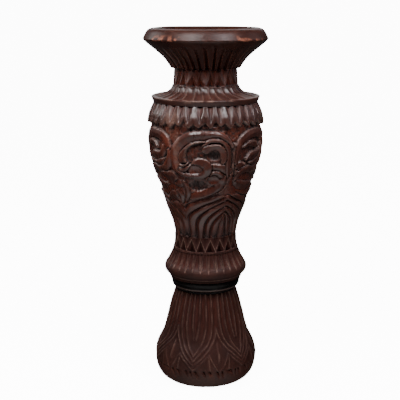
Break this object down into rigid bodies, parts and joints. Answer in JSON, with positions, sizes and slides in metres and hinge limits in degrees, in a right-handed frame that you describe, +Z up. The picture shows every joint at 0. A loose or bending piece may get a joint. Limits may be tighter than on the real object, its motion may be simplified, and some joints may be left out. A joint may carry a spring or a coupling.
{
  "type": "wooden candlestick",
  "caption": "Turned and carved wooden candlestick for a pillar candle, with a flared dish, a carved vase-shaped column and a bell-shaped base.",
  "frame": {"origin": "centre of the felt pad's underside, on the surface that the candlestick stands on", "axes": "+Z up the candlestick's turning axis; -Y is the side that the carved front panel faces"},
  "size_m": [0.1044, 0.1044, 0.305],
  "materials": {
    "stained_wood": "dark reddish-brown stain under satin varnish, lighter where the edges are worn",
    "black_lacquer": "near-black lacquer",
    "raw_wood": "unfinished",
    "brass": "spun, dulled",
    "felt": "matt pressed felt"
  },
  "bodies": {
    "root": {"bell_base": "stained_wood", "felt_pad": "felt", "joint_ring": "black_lacquer", "vase_body": "stained_wood", "neck_flange": "stained_wood", "candle_dish": "stained_wood", "drip_pan": "brass", "pan_screw_1": "brass", "pan_screw_2": "brass", "pan_screw_3": "brass", "lower_dowel": "raw_wood", "upper_dowel": "raw_wood"}
  },
  "joints": []
}
